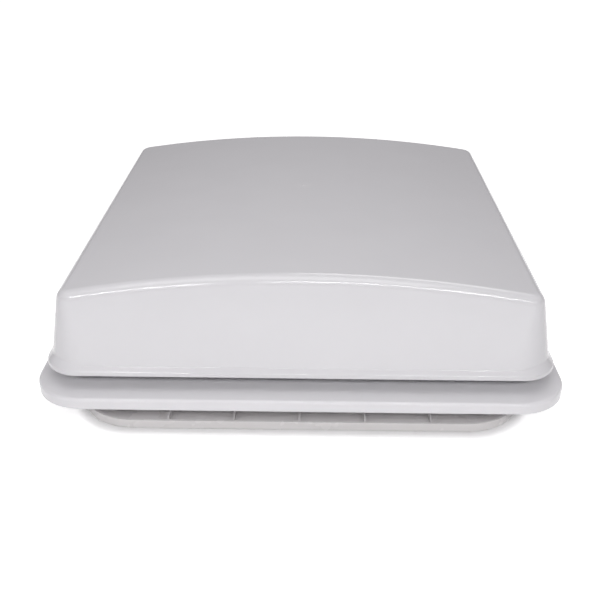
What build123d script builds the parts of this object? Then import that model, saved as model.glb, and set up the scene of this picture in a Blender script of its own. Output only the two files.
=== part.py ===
from build123d import *
import math
import os

os.makedirs("parts", exist_ok=True)

# Driving dimensions in millimetres. The origin is the centre of the roof cut-out on
# the roof's outer skin, with +Z up, the hinge at the rear (+Y) and +X to the right.
cutout_side = 400.0
roof_gap = 33.25
flange_side = 500.0
dome_top_side = 441.0
dome_edge_height = 102.5
dome_crown_rise = 19.0
trim_side = 439.6

# Clearances
cutout_clearance = 2.0
neck_clearance = 1.0
seat_clearance = 0.3
shaft_clearance = 0.05
swing_clearance = 1.0
tool_overrun = 1.0

# Outer frame
frame_wall = 3.0
frame_wall_corner = 18.0
upstand_height = 35.0
spigot_depth = 24.0
flange_corner = 48.2
flange_edge_height = 10.8
flange_edge_round = 3.0
flange_shoulder = 3.0
flange_slope_share = 0.48
flange_slope_corner = 26.0
flange_rise = 2.2
flange_skin = 2.8
flange_rim_wall = 4.0
sealing_land_share = 0.3077
rib_thickness = 2.0
rib_spacing = 64.0
ribs_per_side = 5
clamp_boss_radius = 4.5
clamp_boss_offset = 7.5

# Lid
dome_corner = 12.0
dome_foot_side = 472.0
dome_foot_corner = 38.0
dome_edge_round = 10.0
dome_skin = 2.5
lip_side = 476.4
lip_corner = 34.0
lip_lift = 15.0
lip_face_height = 4.3
lip_flare_height = 9.0
lip_flare_angle = 42.0
lip_edge_round = 2.5
lip_foot_round = 1.0
lip_flare_round = 1.5
gate_mark_radius = 2.0
gate_mark_depth = 0.3
gate_mark_y = 20.0
ring_lift = 8.0
ring_thickness = 3.0
ring_opening_side = 356.0
ring_opening_corner = 20.0
ring_rim_height = 6.0
ring_rim_wall = 2.5
ring_boss_radius = 4.0
ring_boss_height = 6.0

# Lid seal
seal_bulb_radius = 3.0
seal_bulb_wall = 1.1
seal_clip_wall = 1.5
seal_clip_depth = 6.0
seal_clip_web = 2.0

# Lid hinges
hinge_reach = 25.0
hinge_lift = 4.0
hinge_x = 130.0
hinge_half_width = 18.0
hinge_knuckle_half = 5.5
hinge_ear_width = 4.0
hinge_ear_radius = 5.5
hinge_knuckle_radius = 5.0
hinge_pin_radius = 2.5
hinge_pin_head_radius = 3.8
hinge_pin_head_height = 1.5
bracket_plate_thickness = 3.0
bracket_plate_gap = 1.0
bracket_screw_spread = 14.0
leaf_thickness = 3.0
leaf_front_reach = 18.0
leaf_back_reach = 3.5
leaf_neck_half = 5.0
leaf_screw_spread = 13.0
leaf_screw_inset = 5.0

# Lift arms and tracks
arm_length = 105.0
arm_closed_angle = 14.0
arm_wall_inset = 25.0
arm_thickness = 4.0
arm_hub_radius = 8.0
arm_hub_width = 12.0
arm_tip_radius = 5.0
roller_radius = 5.0
roller_width = 7.0
roller_pin_radius = 2.0
roller_side_gap = 0.6
roller_pin_head = 3.4
roller_pin_head_height = 0.8
track_roller_gap = 0.3
track_wall = 2.0
track_foot_width = 6.5
track_end_margin = 10.0
track_screw_inset = 12.0
shaft_radius = 4.0
shaft_pin_radius = 1.25

# Shaft bearings
bearing_width = 12.0
bearing_half_length = 14.0
bearing_half_height = 10.0
bearing_corner = 3.0
bearing_screw_spread = 9.5

# Winding gear
gear_module = 1.5
gear_teeth = 32
worm_pitch_radius = 8.0
gear_addendum = 1.2
gear_dedendum = 1.7
flank_backlash = 0.32
flank_angle = 20.0
thread_length = 16.0
thread_phase = 0.75
sector_thickness = 4.0
sector_hub_width = 9.0
sector_margin_angle = 17.0
lid_open_angle = 50.0
worm_journal_radius = 3.0
worm_square = 5.0
worm_square_round = 0.5

# Gear housing
housing_back_half = 27.0
housing_cheek_inner = 12.0
housing_cheek_wall = 4.0
housing_plate_thickness = 5.0
housing_back_thickness = 4.0
housing_front_margin = 11.0
housing_rise = 17.4
housing_drop = 20.3
housing_screw_x = 21.5
housing_screw_inset = 7.0
bush_radius = 5.0
bush_flange_radius = 6.0
bush_flange_thickness = 1.4

# Ceiling trim
trim_corner = 57.7
trim_band_height = 9.6
trim_band_wall = 2.5
trim_floor = 2.0
trim_edge_round = 1.5
neck_corner = 40.0
neck_wall = 2.5
neck_overlap = 10.0
clamp_cup_radius = 7.0
clamp_cup_height = 6.8
screen_ledge_width = 5.5
screen_ledge_thickness = 2.0
screen_ledge_gap = 12.0

# Operator cover
cover_front_reach = 49.0
cover_plate = 2.0
cover_bottom_inset = 0.55
cover_wall = 2.0
cover_wall_height = 18.3
dish_radius = 36.0
dish_depth = 14.35
cover_screw_x = 150.0
cover_screw_inset = 7.5
cover_boss_radius = 6.0
cover_boss_height = 18.0

# Crank
crank_lift = 4.85
crank_thickness = 6.0
crank_hub_radius = 8.0
crank_hub_top_gap = 1.0
crank_half_width = 9.0
crank_screw_head = 4.0
crank_slot_half_width = 5.8
crank_slot_start = 9.2
crank_tip_radius_to_pin = 5.0
knob_pin_distance = 26.0
knob_pin_radius = 1.5
knob_barrel_radius = 3.0
knob_radius = 5.0
knob_start = 4.2
knob_length = 11.5
knob_spindle_radius = 2.0
knob_head_radius = 3.2
knob_head_thickness = 1.0

# Fly screen
screen_height = 6.0
screen_lift = 1.85
screen_member = 12.0
screen_rear_gap = 2.5
screen_hinge_reach = 7.0
screen_hinge_x = 110.0
screen_lug_half = 3.0
screen_lug_radius = 3.6
screen_pin_radius = 1.5
screen_pin_half_length = 10.0
mesh_overlap = 3.0
mesh_thickness = 0.6
mesh_strand = 1.2
mesh_columns = 19
mesh_rows = 14
retainer_wall = 2.8
magnet_x = 90.0
magnet_radius = 4.0
magnet_thickness = 3.0
magnet_cup_wall = 1.6
keeper_thickness = 1.2
pull_half_width = 20.0
pull_depth = 5.0
pull_height = 1.2

# Screws: shank radius, head radius and head height
clamp_screw = (1.9, 4.0, 2.4)
housing_screw = (1.7, 3.0, 1.8)
small_screw = (1.4, 2.6, 1.5)
clamp_screw_length = 33.0
screw_bite = 8.0
recess_share = 0.5
recess_depth_share = 0.6
cap_thickness = 0.9

# Levels and half-widths worked out from the sizes above
wall_out = cutout_side / 2 - cutout_clearance
wall_in = wall_out - frame_wall
wall_in_corner = frame_wall_corner - frame_wall
flange_reach = flange_side / 2 - wall_out
flange_slope_width = flange_reach * flange_slope_share
sealing_land_width = flange_reach * sealing_land_share
flange_top = flange_edge_height + flange_rise
crown = dome_edge_height + dome_crown_rise
trim_bottom = -roof_gap - trim_band_height
trim_floor_top = trim_bottom + trim_floor
neck_top = neck_overlap - spigot_depth
neck_out = wall_in - neck_clearance
neck_in = neck_out - neck_wall
neck_in_corner = neck_corner - neck_wall
lip_bottom = flange_top + lip_lift
ring_bottom = upstand_height + ring_lift
ring_top = ring_bottom + ring_thickness
clamp_at = wall_in - clamp_boss_offset
hinge_y = wall_out + hinge_reach
hinge_z = lip_bottom + hinge_lift
arm_x = wall_in - arm_wall_inset
pivot_y = hinge_y - arm_length * math.cos(math.radians(arm_closed_angle))
pivot_z = hinge_z - arm_length * math.sin(math.radians(arm_closed_angle))
tip_y = hinge_y - 2 * arm_length * math.cos(math.radians(arm_closed_angle))
tip_open_y = hinge_y - 2 * arm_length * math.cos(math.radians(arm_closed_angle + lid_open_angle))
gear_pitch_radius = gear_module * gear_teeth / 2
worm_y = pivot_y + gear_pitch_radius + worm_pitch_radius
worm_pitch = math.pi * gear_module
housing_top = pivot_z + housing_rise
housing_bottom = pivot_z - housing_drop
dish_roof_bottom = trim_bottom + dish_depth
crank_bottom = trim_bottom + crank_lift
cover_front = worm_y - cover_front_reach
screen_hinge_y = cover_front - screen_hinge_reach
screen_bottom = trim_bottom + screen_lift
screen_top = screen_bottom + screen_height
screen_pin_z = screen_top - screen_height / 2
magnet_y = magnet_radius + magnet_cup_wall - neck_in
small_hole = small_screw[0] + shaft_clearance
housing_hole = housing_screw[0] + shaft_clearance
sides = ((-1, "left"), (1, "right"))
corners = ((-1, -1), (1, -1), (1, 1), (-1, 1))


def save(piece, name):
    piece.part.label = name
    export_step(piece.part, f"parts/{name}.step")


def square_block(half, corner, floor, top, mode=Mode.ADD):
    with BuildSketch(Plane.XY.offset(floor)) as outline:
        RectangleRounded(2 * half, 2 * half, corner)
    extrude(outline.sketch, amount=top - floor, mode=mode)


def square_ring(outer, outer_corner, inner, inner_corner, floor, top):
    with BuildSketch(Plane.XY.offset(floor)) as outline:
        RectangleRounded(2 * outer, 2 * outer, outer_corner)
        RectangleRounded(2 * inner, 2 * inner, inner_corner, mode=Mode.SUBTRACT)
    extrude(outline.sketch, amount=top - floor)


def span(x0, x1, y0, y1, z0, z1, mode=Mode.ADD):
    with Locations(((x0 + x1) / 2, (y0 + y1) / 2, (z0 + z1) / 2)):
        Box(abs(x1 - x0), abs(y1 - y0), abs(z1 - z0), mode=mode)


def rod(start, direction, radius, length, mode=Mode.ADD):
    with BuildSketch(Plane(origin=start, z_dir=direction)) as section:
        Circle(radius)
    extrude(section.sketch, amount=length, mode=mode)


def side_plane(x):
    return Plane(origin=(x, 0, 0), x_dir=(0, 1, 0), z_dir=(1, 0, 0))


def link(x0, x1, ends, mode=Mode.ADD):
    """A flat link from x0 to x1, with a rounded end (y, z, radius) at each place."""
    with BuildSketch(side_plane(min(x0, x1))) as outline:
        for y, z, radius in ends:
            with Locations((y, z)):
                Circle(radius)
        make_hull()
    extrude(outline.sketch, amount=abs(x1 - x0), mode=mode)


def screw(seat, direction, size, length):
    """A screw whose head stands on the seat and whose shank points along direction."""
    shank, head, height = size
    back = tuple(-d for d in direction)
    rod(seat, direction, shank, length)
    rod(seat, back, head, height)
    face = Plane(origin=tuple(s + b * height for s, b in zip(seat, back)), z_dir=back)
    with BuildSketch(face) as recess:
        RegularPolygon(head * recess_share, 6)
    extrude(recess.sketch, amount=-height * recess_depth_share, mode=Mode.SUBTRACT)


def dome_half(z):
    """Half-width of the dome's tapered wall at a height."""
    rise = (dome_edge_height - z) / (dome_edge_height - lip_bottom)
    return (dome_top_side + (dome_foot_side - dome_top_side) * rise) / 2


def dome_corner_at(z):
    """Corner radius of the dome's wall at a height. It opens out towards the foot."""
    rise = (dome_edge_height - z) / (dome_edge_height - lip_bottom)
    return dome_corner + (dome_foot_corner - dome_corner) * rise


def dome_block(inset, bottom):
    """The arched and tapered block of the dome, drawn in by an inset."""
    outlines = []
    for z in (bottom, crown + tool_overrun):
        half = dome_half(z) - inset
        with BuildSketch(Plane.XY.offset(z)) as outline:
            RectangleRounded(2 * half, 2 * half, dome_corner_at(z) - inset)
        outlines.append(outline.sketch.face())
    loft(outlines, ruled=True)
    arch_radius = ((dome_top_side / 2) ** 2 + dome_crown_rise ** 2) / (2 * dome_crown_rise)
    with Locations((0, 0, crown - arch_radius)):
        Cylinder(arch_radius - inset, lip_side + 2 * tool_overrun, rotation=(90, 0, 0), mode=Mode.INTERSECT)


leaf_front = hinge_y - leaf_front_reach
leaf_back = hinge_y + leaf_back_reach
bracket_plate_bottom = flange_top + bracket_plate_gap
bracket_plate_top = upstand_height - seal_clip_depth - bracket_plate_gap
bracket_mid = (bracket_plate_bottom + bracket_plate_top) / 2

# Outer frame: flange on the roof, upstand under the lid and spigot through the roof,
# moulded in one piece, with ribs under the flange and a clamp boss in each corner
with BuildPart() as roof_frame:
    square_block(flange_side / 2, flange_corner, 0, flange_edge_height)
    fillet(roof_frame.edges().group_by(Axis.Z)[-1], flange_edge_round)
    slope_half = flange_side / 2 - flange_shoulder
    with BuildSketch(Plane.XY.offset(flange_edge_height)):
        RectangleRounded(2 * slope_half, 2 * slope_half, flange_corner - flange_shoulder)
    with BuildSketch(Plane.XY.offset(flange_top)):
        top_half = slope_half - flange_slope_width
        RectangleRounded(2 * top_half, 2 * top_half, flange_slope_corner)
    loft(ruled=True)
    square_block(wall_out, frame_wall_corner, -spigot_depth, upstand_height)
    rim_in = flange_side / 2 - flange_rim_wall
    land_out = wall_out + sealing_land_width
    land_corner = frame_wall_corner + sealing_land_width
    with BuildSketch() as channel:
        RectangleRounded(2 * rim_in, 2 * rim_in, flange_corner - flange_rim_wall)
        RectangleRounded(2 * land_out, 2 * land_out, land_corner, mode=Mode.SUBTRACT)
        with GridLocations(rib_spacing, 0, ribs_per_side, 1):
            Rectangle(rib_thickness, flange_side, mode=Mode.SUBTRACT)
        with GridLocations(0, rib_spacing, 1, ribs_per_side):
            Rectangle(flange_side, rib_thickness, mode=Mode.SUBTRACT)
    extrude(channel.sketch, amount=flange_edge_height - flange_skin, mode=Mode.SUBTRACT)
    square_block(wall_in, wall_in_corner, -spigot_depth - tool_overrun, upstand_height + tool_overrun,
                 Mode.SUBTRACT)
    hole_length = frame_wall + 2 * tool_overrun
    web_out = (wall_out + wall_in) / 2 - (frame_wall_corner - frame_wall / 2) * (1 - math.sqrt(0.5))
    for x, y in corners:
        rod((x * clamp_at, y * clamp_at, -spigot_depth), (0, 0, 1), clamp_boss_radius, spigot_depth)
        span(x * clamp_at, x * web_out, y * clamp_at, y * web_out, -spigot_depth, 0)
        rod((x * clamp_at, y * clamp_at, -spigot_depth), (0, 0, 1), clamp_screw[0] + shaft_clearance,
            spigot_depth, Mode.SUBTRACT)
    for side, _ in sides:
        for offset in (-bracket_screw_spread, bracket_screw_spread):
            start = (side * hinge_x + offset, wall_out + tool_overrun, bracket_mid)
            rod(start, (0, -1, 0), small_hole, hole_length, Mode.SUBTRACT)
        for offset in (-bearing_screw_spread, bearing_screw_spread):
            start = (side * (wall_in - tool_overrun), pivot_y + offset, pivot_z)
            rod(start, (side, 0, 0), small_hole, hole_length, Mode.SUBTRACT)
        for z in (housing_bottom + housing_screw_inset, housing_top - housing_screw_inset):
            start = (side * housing_screw_x, wall_in - tool_overrun, z)
            rod(start, (0, 1, 0), housing_hole, hole_length, Mode.SUBTRACT)
save(roof_frame, "roof_frame")

# Lid seal: rubber bulb on a clip that grips the top of the upstand
seal_mid = (wall_out + wall_in) / 2
seal_bulb_z = ring_bottom - seat_clearance - seal_bulb_radius
with BuildSketch(Plane.XY.offset(seal_bulb_z)) as bulb_path:
    RectangleRounded(2 * seal_mid, 2 * seal_mid, frame_wall_corner - frame_wall / 2)
bulb_wire = bulb_path.sketch.wire()
with BuildPart() as lid_seal:
    clip_out = wall_out + seal_clip_wall
    clip_in = wall_in - seal_clip_wall
    clip_floor = upstand_height - seal_clip_depth
    clip_top = upstand_height + seal_clip_web
    square_ring(clip_out, frame_wall_corner + seal_clip_wall, clip_in, wall_in_corner - seal_clip_wall,
                clip_floor, clip_top)
    with BuildSketch(Plane.XY.offset(clip_floor)) as grip:
        RectangleRounded(2 * wall_out, 2 * wall_out, frame_wall_corner)
        RectangleRounded(2 * wall_in, 2 * wall_in, wall_in_corner, mode=Mode.SUBTRACT)
    extrude(grip.sketch, amount=seal_clip_depth, mode=Mode.SUBTRACT)
    for radius, mode in ((seal_bulb_radius, Mode.ADD), (seal_bulb_radius - seal_bulb_wall, Mode.SUBTRACT)):
        with BuildSketch(Plane(origin=bulb_wire @ 0, z_dir=bulb_wire % 0)) as bulb:
            Circle(radius)
        sweep(bulb.sketch, path=bulb_wire, mode=mode)
save(lid_seal, "lid_seal")

# Dome: thin moulded shell with drafted walls, a crown arched across its width and a
# flared rain lip around the foot
with BuildPart() as dome_hollow:
    dome_block(dome_skin, lip_bottom - tool_overrun)
    top_edges = dome_hollow.faces().sort_by(Axis.Z)[-1].edges()
    fillet(top_edges, dome_edge_round - dome_skin)

with BuildPart() as dome_lip:
    lip_face_top = lip_bottom + lip_face_height
    square_block(lip_side / 2, lip_corner, lip_bottom, lip_face_top)
    with BuildSketch(Plane.XY.offset(lip_face_top)) as flare:
        RectangleRounded(lip_side, lip_side, lip_corner)
    extrude(flare.sketch, amount=lip_flare_height, taper=lip_flare_angle)
    fillet(dome_lip.edges().filter_by_position(Axis.Z, lip_face_top, lip_face_top), lip_edge_round)
    fillet(dome_lip.edges().filter_by_position(Axis.Z, lip_bottom, lip_bottom), lip_foot_round)

with BuildPart() as dome:
    dome_block(0, lip_bottom)
    fillet(dome.faces().sort_by(Axis.Z)[-1].edges(), dome_edge_round)
    add(dome_lip.part)
    flare_top = lip_face_top + lip_flare_height
    flare_bottom = lip_face_top + lip_edge_round
    foot_seam = dome.edges().filter_by_position(Axis.Z, flare_bottom, flare_top, inclusive=(False, False))
    fillet(foot_seam, lip_flare_round)
    add(dome_hollow.part, mode=Mode.SUBTRACT)
    rod((0, gate_mark_y, crown - gate_mark_depth), (0, 0, 1), gate_mark_radius, tool_overrun, Mode.SUBTRACT)
save(dome, "dome")

# Lid ring: inner frame of the lid, bonded all round inside the dome, the land that the
# seal meets and the carrier of the hinge leaves and lift tracks
leaf_screw_y = leaf_front + leaf_screw_inset
track_web_x = arm_x + arm_thickness / 2 + roller_side_gap + roller_width + roller_side_gap
track_foot_x = track_web_x + track_wall + track_foot_width / 2
track_front = tip_y - track_end_margin
track_back = tip_open_y + track_end_margin
track_middle = (track_front + track_back) / 2
track_screw_ys = (track_front + track_screw_inset, track_middle, track_back - track_screw_inset)
with BuildPart() as lid_ring:
    ring_half = ring_opening_side / 2
    square_ring(dome_half(ring_bottom), dome_corner, ring_half, ring_opening_corner, ring_bottom, ring_top)
    add(dome_hollow.part, mode=Mode.INTERSECT)
    rim_half = ring_half + ring_rim_wall
    rim_corner = ring_opening_corner + ring_rim_wall
    square_ring(rim_half, rim_corner, ring_half, ring_opening_corner, ring_top, ring_top + ring_rim_height)
    for side, _ in sides:
        places = [(side * hinge_x + offset, leaf_screw_y)
                  for offset in (-leaf_screw_spread, leaf_screw_spread)]
        places += [(side * track_foot_x, y) for y in track_screw_ys]
        for x, y in places:
            rod((x, y, ring_bottom), (0, 0, 1), ring_boss_radius, ring_thickness + ring_boss_height)
        for x, y in places:
            rod((x, y, ring_bottom - tool_overrun), (0, 0, 1), small_hole,
                ring_thickness + ring_boss_height, Mode.SUBTRACT)
save(lid_ring, "lid_ring")

# Lid hinges: a two-eared bracket on the upstand, a leaf with a knuckle under the lid
# ring and a headed pin through both
bracket_back = wall_out + bracket_plate_thickness
for side, name in sides:
    middle = side * hinge_x
    with BuildPart() as hinge_bracket:
        span(middle - hinge_half_width, middle + hinge_half_width, wall_out, bracket_back,
             bracket_plate_bottom, bracket_plate_top)
        for ear in (-1, 1):
            near = middle + ear * (hinge_knuckle_half + seat_clearance)
            with BuildSketch(side_plane(min(near, near + ear * hinge_ear_width))) as outline:
                with Locations((hinge_y, hinge_z)):
                    Circle(hinge_ear_radius)
                with Locations(((wall_out + bracket_back) / 2, bracket_mid)):
                    Rectangle(bracket_plate_thickness, bracket_plate_top - bracket_plate_bottom)
                make_hull()
            extrude(outline.sketch, amount=hinge_ear_width)
        rod((middle - hinge_half_width, hinge_y, hinge_z), (1, 0, 0), hinge_pin_radius + shaft_clearance,
            2 * hinge_half_width, Mode.SUBTRACT)
        for offset in (-bracket_screw_spread, bracket_screw_spread):
            rod((middle + offset, wall_out - tool_overrun, bracket_mid), (0, 1, 0), small_hole,
                bracket_plate_thickness + 2 * tool_overrun, Mode.SUBTRACT)
    save(hinge_bracket, f"hinge_bracket_{name}")

    with BuildPart() as hinge_leaf:
        span(middle - hinge_half_width, middle + hinge_half_width, leaf_front, leaf_back,
             ring_bottom - leaf_thickness, ring_bottom)
        with BuildSketch(side_plane(middle - hinge_knuckle_half)) as knuckle:
            with Locations((hinge_y, hinge_z)):
                Circle(hinge_knuckle_radius)
            with Locations((leaf_back - leaf_neck_half, ring_bottom - leaf_thickness / 2)):
                Rectangle(2 * leaf_neck_half, leaf_thickness)
            make_hull()
        extrude(knuckle.sketch, amount=2 * hinge_knuckle_half)
        rod((middle - hinge_half_width, hinge_y, hinge_z), (1, 0, 0), hinge_pin_radius + shaft_clearance,
            2 * hinge_half_width, Mode.SUBTRACT)
        for offset in (-leaf_screw_spread, leaf_screw_spread):
            rod((middle + offset, leaf_screw_y, ring_bottom - leaf_thickness - tool_overrun), (0, 0, 1),
                small_hole, leaf_thickness + 2 * tool_overrun, Mode.SUBTRACT)
    save(hinge_leaf, f"hinge_leaf_{name}")

    pin_reach = hinge_knuckle_half + seat_clearance + hinge_ear_width
    with BuildPart() as hinge_pin:
        rod((middle - pin_reach, hinge_y, hinge_z), (1, 0, 0), hinge_pin_radius, 2 * pin_reach)
        rod((middle - pin_reach, hinge_y, hinge_z), (-1, 0, 0), hinge_pin_head_radius, hinge_pin_head_height)
        rod((middle + pin_reach, hinge_y, hinge_z), (1, 0, 0), hinge_pin_head_radius, hinge_pin_head_height)
    save(hinge_pin, f"hinge_pin_{name}")

with BuildPart() as bracket_screws:
    for side, _ in sides:
        for offset in (-bracket_screw_spread, bracket_screw_spread):
            screw((side * hinge_x + offset, bracket_back, bracket_mid), (0, -1, 0), small_screw,
                  bracket_plate_thickness + frame_wall)
save(bracket_screws, "bracket_screws")

with BuildPart() as leaf_screws:
    for side, _ in sides:
        for offset in (-leaf_screw_spread, leaf_screw_spread):
            place = (side * hinge_x + offset, leaf_screw_y, ring_bottom - leaf_thickness)
            screw(place, (0, 0, 1), small_screw, leaf_thickness + ring_thickness + ring_boss_height / 2)
save(leaf_screws, "leaf_screws")

# Lift tracks: extruded channels under the lid ring, open towards the middle. Their
# centre line runs through the hinge axis, so the arm always turns twice as far as the lid.
track_gap_half = roller_radius + track_roller_gap
for side, name in sides:
    with BuildPart() as lift_track:
        web = side * track_web_x
        mouth = side * (arm_x + arm_thickness / 2 + roller_side_gap)
        outer = side * (track_web_x + track_wall)
        foot = side * (track_web_x + track_wall + track_foot_width)
        low = hinge_z - track_gap_half - track_wall
        high = hinge_z + track_gap_half + track_wall
        span(web, outer, track_front, track_back, low, ring_bottom)
        span(mouth, outer, track_front, track_back, low, low + track_wall)
        span(mouth, outer, track_front, track_back, high - track_wall, high)
        span(web, foot, track_front, track_back, ring_bottom - track_wall, ring_bottom)
        for y in track_screw_ys:
            rod((side * track_foot_x, y, ring_bottom - track_wall - tool_overrun), (0, 0, 1),
                small_hole, track_wall + 2 * tool_overrun, Mode.SUBTRACT)
    save(lift_track, f"lift_track_{name}")

with BuildPart() as track_screws:
    for side, _ in sides:
        for y in track_screw_ys:
            screw((side * track_foot_x, y, ring_bottom - track_wall), (0, 0, 1), small_screw,
                  track_wall + ring_thickness + ring_boss_height / 2)
save(track_screws, "track_screws")

# Cross shaft with its two lift arms, each pinned through its hub, and a plain roller on
# a headed pin at each arm's tip
shaft_half = wall_in - bearing_width / 2
hub_inner = arm_x + arm_thickness / 2 - arm_hub_width
arm_pin_x = (hub_inner + arm_x - arm_thickness / 2) / 2
sector_pin_x = (sector_thickness + sector_hub_width) / 2
with BuildPart() as cross_shaft:
    rod((-shaft_half, pivot_y, pivot_z), (1, 0, 0), shaft_radius, 2 * shaft_half)
    for x in (-arm_pin_x, sector_pin_x, arm_pin_x):
        rod((x, pivot_y, pivot_z - arm_hub_radius), (0, 0, 1), shaft_pin_radius, 2 * arm_hub_radius,
            Mode.SUBTRACT)
save(cross_shaft, "cross_shaft")

with BuildPart() as shaft_pins:
    for x in (-arm_pin_x, sector_pin_x, arm_pin_x):
        rod((x, pivot_y, pivot_z - arm_hub_radius), (0, 0, 1), shaft_pin_radius, 2 * arm_hub_radius)
save(shaft_pins, "shaft_pins")

for side, name in sides:
    inner = side * (arm_x - arm_thickness / 2)
    outer = side * (arm_x + arm_thickness / 2)
    with BuildPart() as lift_arm:
        link(inner, outer, ((pivot_y, pivot_z, arm_hub_radius), (tip_y, hinge_z, arm_tip_radius)))
        rod((side * hub_inner, pivot_y, pivot_z), (side, 0, 0), arm_hub_radius, arm_hub_width)
        rod((side * (hub_inner - tool_overrun), pivot_y, pivot_z), (side, 0, 0), shaft_radius,
            arm_hub_width + 2 * tool_overrun, Mode.SUBTRACT)
        rod((side * arm_pin_x, pivot_y, pivot_z - arm_hub_radius - tool_overrun), (0, 0, 1), shaft_pin_radius,
            2 * (arm_hub_radius + tool_overrun), Mode.SUBTRACT)
        rod((inner - side * tool_overrun, tip_y, hinge_z), (side, 0, 0), roller_pin_radius,
            arm_thickness + 2 * tool_overrun, Mode.SUBTRACT)
    save(lift_arm, f"lift_arm_{name}")

    roller_start = arm_x + arm_thickness / 2 + roller_side_gap
    with BuildPart() as roller_pin:
        rod((inner, tip_y, hinge_z), (side, 0, 0), roller_pin_radius,
            arm_thickness + roller_side_gap + roller_width)
        rod((inner, tip_y, hinge_z), (-side, 0, 0), roller_pin_head, roller_pin_head_height)
    save(roller_pin, f"roller_pin_{name}")

    with BuildPart() as lift_roller:
        rod((side * roller_start, tip_y, hinge_z), (side, 0, 0), roller_radius, roller_width)
        rod((side * (roller_start - tool_overrun), tip_y, hinge_z), (side, 0, 0),
            roller_pin_radius + shaft_clearance, roller_width + 2 * tool_overrun, Mode.SUBTRACT)
    save(lift_roller, f"lift_roller_{name}")

# Shaft bearings: nylon blocks screwed to the side walls
for side, name in sides:
    with BuildPart() as shaft_bearing:
        span(side * (wall_in - bearing_width), side * wall_in, pivot_y - bearing_half_length,
             pivot_y + bearing_half_length, pivot_z - bearing_half_height, pivot_z + bearing_half_height)
        fillet(shaft_bearing.edges().filter_by(Axis.X), bearing_corner)
        rod((side * (wall_in - bearing_width - tool_overrun), pivot_y, pivot_z), (side, 0, 0),
            shaft_radius + shaft_clearance, bearing_width / 2 + tool_overrun + seat_clearance, Mode.SUBTRACT)
        for offset in (-bearing_screw_spread, bearing_screw_spread):
            rod((side * (wall_in - bearing_width - tool_overrun), pivot_y + offset, pivot_z), (side, 0, 0),
                small_hole, bearing_width + 2 * tool_overrun, Mode.SUBTRACT)
    save(shaft_bearing, f"shaft_bearing_{name}")

with BuildPart() as bearing_screws:
    for side, _ in sides:
        for offset in (-bearing_screw_spread, bearing_screw_spread):
            screw((side * (wall_in - bearing_width), pivot_y + offset, pivot_z), (side, 0, 0), small_screw,
                  bearing_width + frame_wall)
save(bearing_screws, "bearing_screws")

# Sector gear on the middle of the cross shaft, with teeth only over the arc it uses
tooth_angle = 360 / gear_teeth
root_radius = gear_pitch_radius - gear_dedendum
outer_radius = gear_pitch_radius + gear_addendum
pitch_half_tooth = worm_pitch / 4 - flank_backlash / 2
flank_slope = math.tan(math.radians(flank_angle))
tooth_root_half = pitch_half_tooth + gear_dedendum * flank_slope
tooth_tip_half = pitch_half_tooth - gear_addendum * flank_slope
teeth_in_use = math.ceil((2 * lid_open_angle + 2 * sector_margin_angle) / tooth_angle)
first_tooth = -math.floor(sector_margin_angle / tooth_angle) + 0.5
with BuildPart() as sector_gear:
    body_start = (first_tooth - 0.5) * tooth_angle
    body_end = (first_tooth + teeth_in_use - 0.5) * tooth_angle
    with BuildSketch(side_plane(-sector_thickness / 2)) as plate:
        with BuildLine(Plane((pivot_y, pivot_z))):
            rim = CenterArc((0, 0), root_radius, body_start, body_end - body_start)
            Line((0, 0), rim @ 0)
            Line((0, 0), rim @ 1)
        make_face()
        for tooth in range(teeth_in_use):
            angle = math.radians((first_tooth + tooth) * tooth_angle)
            along = Vector(math.cos(angle), math.sin(angle))
            across = Vector(-math.sin(angle), math.cos(angle))
            centre = Vector(pivot_y, pivot_z)
            tooth_outline = ((root_radius - flank_backlash, -tooth_root_half),
                             (outer_radius, -tooth_tip_half),
                             (outer_radius, tooth_tip_half),
                             (root_radius - flank_backlash, tooth_root_half))
            Polygon(*[centre + along * r + across * t for r, t in tooth_outline], align=None)
        with Locations((pivot_y, pivot_z)):
            Circle(arm_hub_radius)
            Circle(shaft_radius, mode=Mode.SUBTRACT)
    extrude(plate.sketch, amount=sector_thickness)
    rod((sector_thickness / 2, pivot_y, pivot_z), (1, 0, 0), arm_hub_radius, sector_hub_width)
    rod((sector_thickness / 2, pivot_y, pivot_z), (1, 0, 0), shaft_radius,
        sector_hub_width + tool_overrun, Mode.SUBTRACT)
    rod((sector_pin_x, pivot_y, pivot_z - arm_hub_radius - tool_overrun), (0, 0, 1), shaft_pin_radius,
        2 * (arm_hub_radius + tool_overrun), Mode.SUBTRACT)
save(sector_gear, "sector_gear")

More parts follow.
